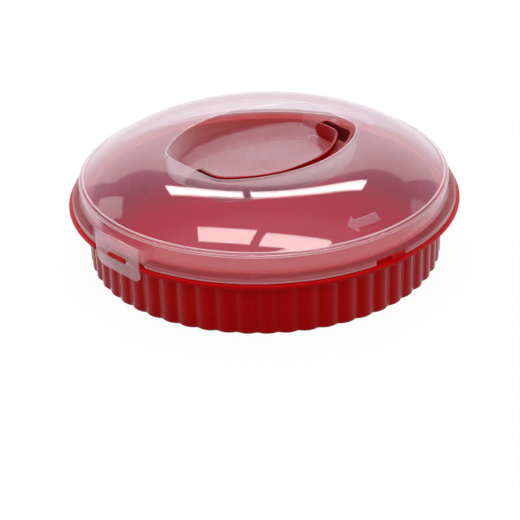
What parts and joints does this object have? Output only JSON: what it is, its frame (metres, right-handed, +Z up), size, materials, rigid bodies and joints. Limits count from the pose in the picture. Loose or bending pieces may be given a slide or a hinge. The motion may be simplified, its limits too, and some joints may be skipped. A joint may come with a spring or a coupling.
{
  "type": "cake carrier",
  "caption": "Round cake carrier: fluted dish base, translucent domed lid with a hand well, fold-down bail handle in the well, and slotted flip latches that snap over lugs on the rim.",
  "frame": {"origin": "centre of the underside of the base, in the plane it stands on", "axes": "+Z up through the lid, +X along the pivot line of the handle, -Y towards the side the folded handle lies on"},
  "size_m": [0.318, 0.32, 0.0987],
  "materials": {
    "red_body": "smooth, gloss",
    "clear_lid": "translucent, gloss"
  },
  "bodies": {
    "base": {"base": "red_body"},
    "lid": {"lid": "clear_lid"},
    "handle": {"handle": "red_body"},
    "latch_front": {"latch_front": "clear_lid"},
    "latch_rear": {"latch_rear": "clear_lid"}
  },
  "joints": [
    {"name": "lid_lift", "type": "slide", "parent": "base", "child": "lid", "axis": [0, 0, 1], "range_m": [0, 0.2]},
    {"name": "handle_pivot", "type": "hinge", "parent": "lid", "child": "handle", "pos_m": [0, 0, 0.08645], "axis": [-1, 0, 0], "range_deg": [0, 180]},
    {"name": "latch_front_hinge", "type": "hinge", "parent": "lid", "child": "latch_front", "pos_m": [-0.15569, -0.00816, 0.0644], "axis": [-0.0523, 0.9986, 0], "range_deg": [0, 110]},
    {"name": "latch_rear_hinge", "type": "hinge", "parent": "lid", "child": "latch_rear", "pos_m": [0.15569, 0.00816, 0.0644], "axis": [0.0523, -0.9986, 0], "range_deg": [0, 110]}
  ]
}
